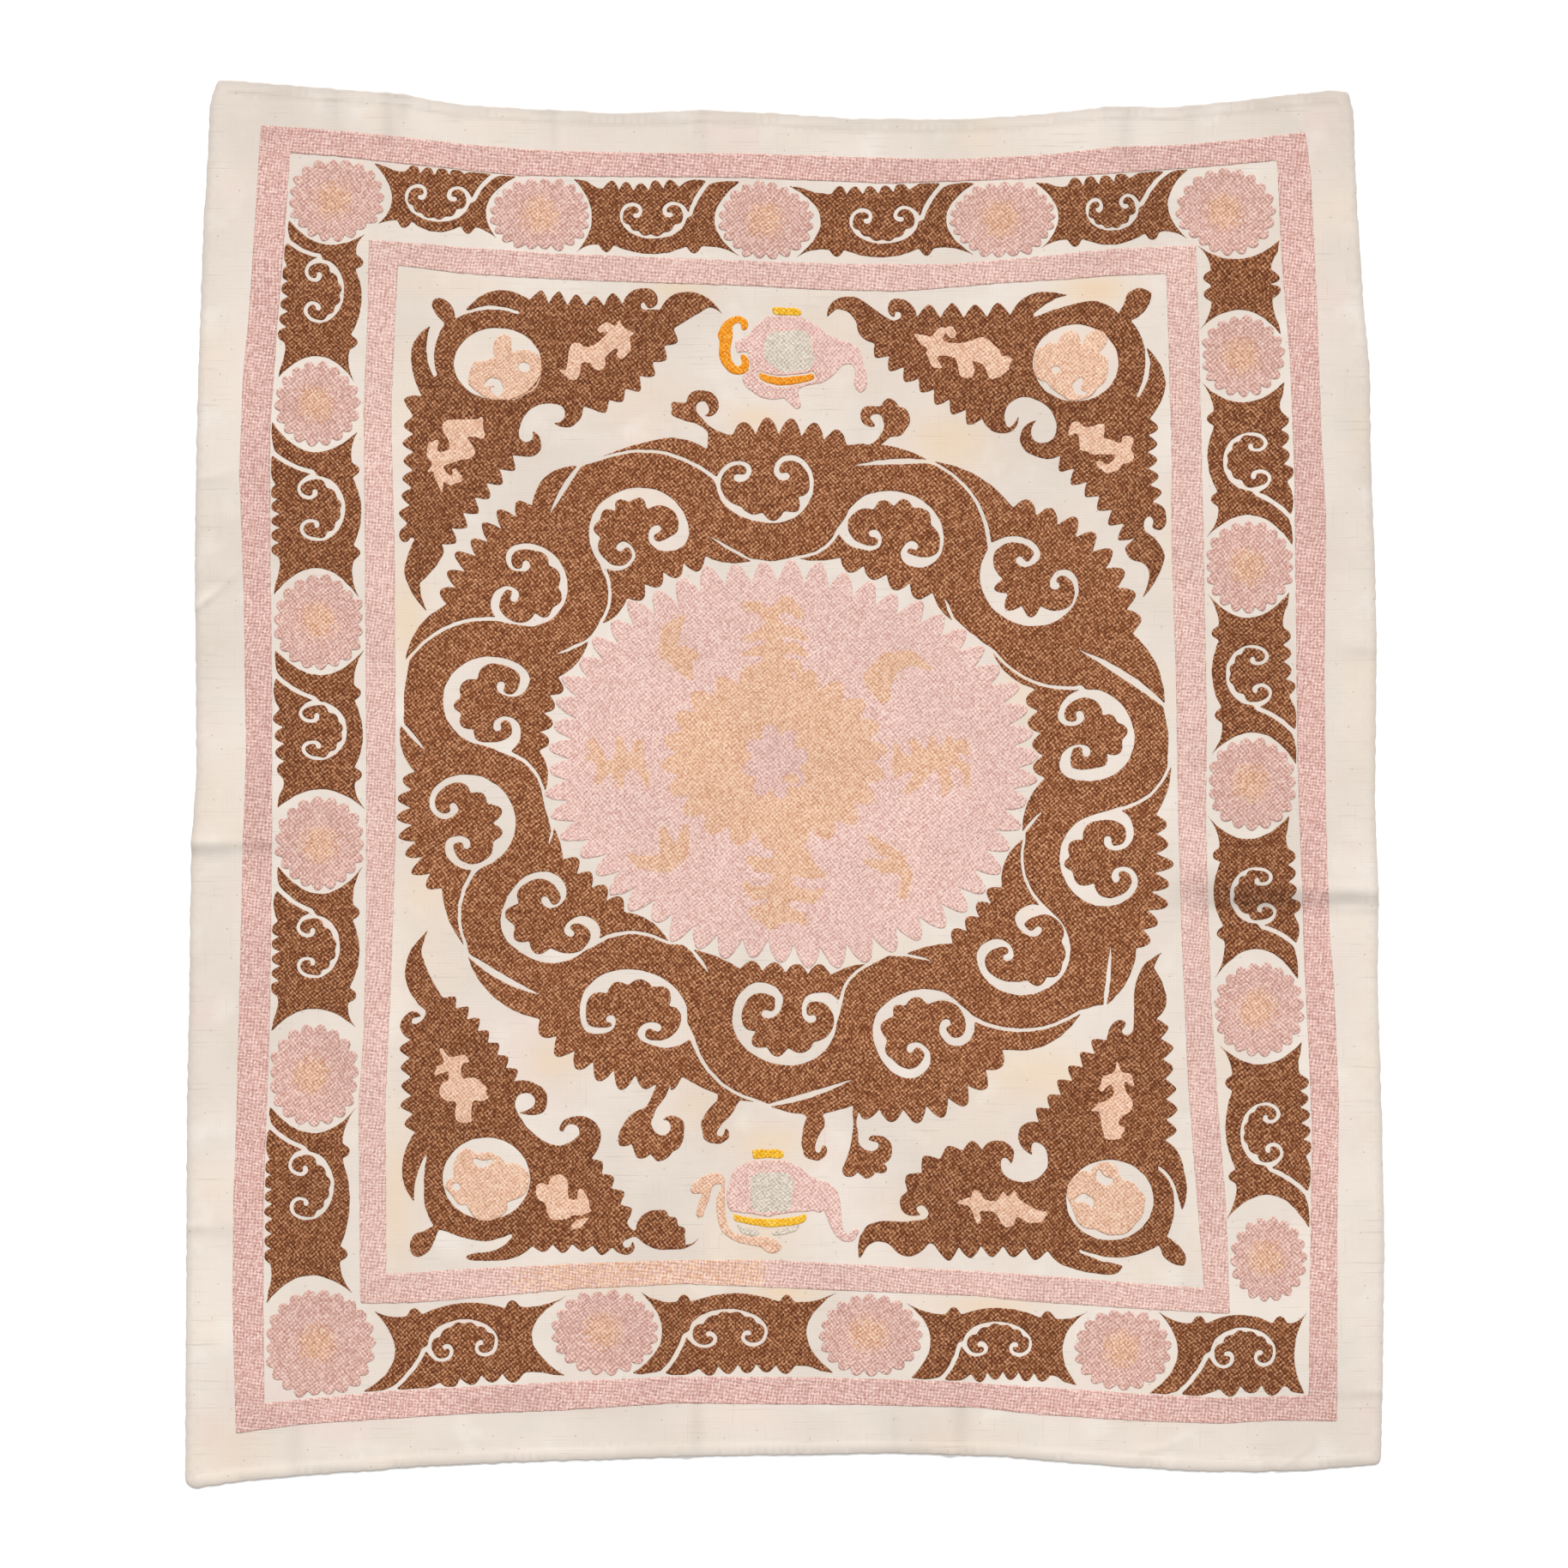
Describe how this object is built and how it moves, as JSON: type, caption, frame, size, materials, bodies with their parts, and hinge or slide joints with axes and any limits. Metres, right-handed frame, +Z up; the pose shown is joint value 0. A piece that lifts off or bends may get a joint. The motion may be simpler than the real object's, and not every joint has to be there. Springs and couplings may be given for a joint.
{
  "type": "embroidered tablecloth",
  "caption": "Rectangular hemmed tablecloth lying flat, worked in chain stitch with bands, rosettes, scrolling leaves and a toothed medallion.",
  "frame": {"origin": "middle of the cloth's bounding box, on the flat underside that lies on the table", "axes": "+X across the cloth's width, +Y along its length towards the picture's top edge, +Z up out of the embroidered face"},
  "size_m": [1.398, 1.642, 0.0051],
  "materials": {
    "linen": "cream cotton cloth, plain weave, matt",
    "brown": "brown chain stitch, speckled, soft sheen",
    "rose": "pale rose chain stitch, faded, soft sheen",
    "peach": "pale peach chain stitch, faded, soft sheen",
    "orange": "strong orange chain stitch, soft sheen",
    "yellow": "strong yellow chain stitch, soft sheen"
  },
  "bodies": {
    "root": {"corner_spray_lower_left": "brown", "corner_spray_lower_right": "brown", "corner_spray_upper_left": "brown", "corner_spray_upper_right": "brown", "disc_flower_lower_left": "peach", "disc_flower_lower_right": "peach", "disc_flower_upper_left": "peach", "disc_flower_upper_right": "peach", "ground_cloth": "linen", "inner_band": "rose", "leaf_panel_01": "brown", "leaf_panel_02": "brown", "leaf_panel_03": "brown", "leaf_panel_04": "brown", "leaf_panel_05": "brown", "leaf_panel_06": "brown", "leaf_panel_07": "brown", "leaf_panel_08": "brown", "leaf_panel_09": "brown", "leaf_panel_10": "brown", "leaf_panel_11": "brown", "leaf_panel_12": "brown", "leaf_panel_13": "brown", "leaf_panel_14": "brown", "leaf_panel_15": "brown", "leaf_panel_16": "brown", "leaf_panel_17": "brown", "leaf_panel_18": "brown", "medallion": "rose", "outer_band": "rose", "pot_lower_band": "yellow", "pot_lower_body": "rose", "pot_lower_handle": "peach", "pot_lower_lid": "yellow", "pot_upper_band": "orange", "pot_upper_body": "rose", "pot_upper_handle": "orange", "pot_upper_lid": "yellow", "ring_vine": "brown", "rosette_01": "rose", "rosette_02": "rose", "rosette_03": "rose", "rosette_04": "rose", "rosette_05": "rose", "rosette_06": "rose", "rosette_07": "rose", "rosette_08": "rose", "rosette_09": "rose", "rosette_10": "rose", "rosette_11": "rose", "rosette_12": "rose", "rosette_13": "rose", "rosette_14": "rose", "rosette_15": "rose", "rosette_16": "rose", "rosette_17": "rose", "rosette_18": "rose"}
  },
  "joints": []
}
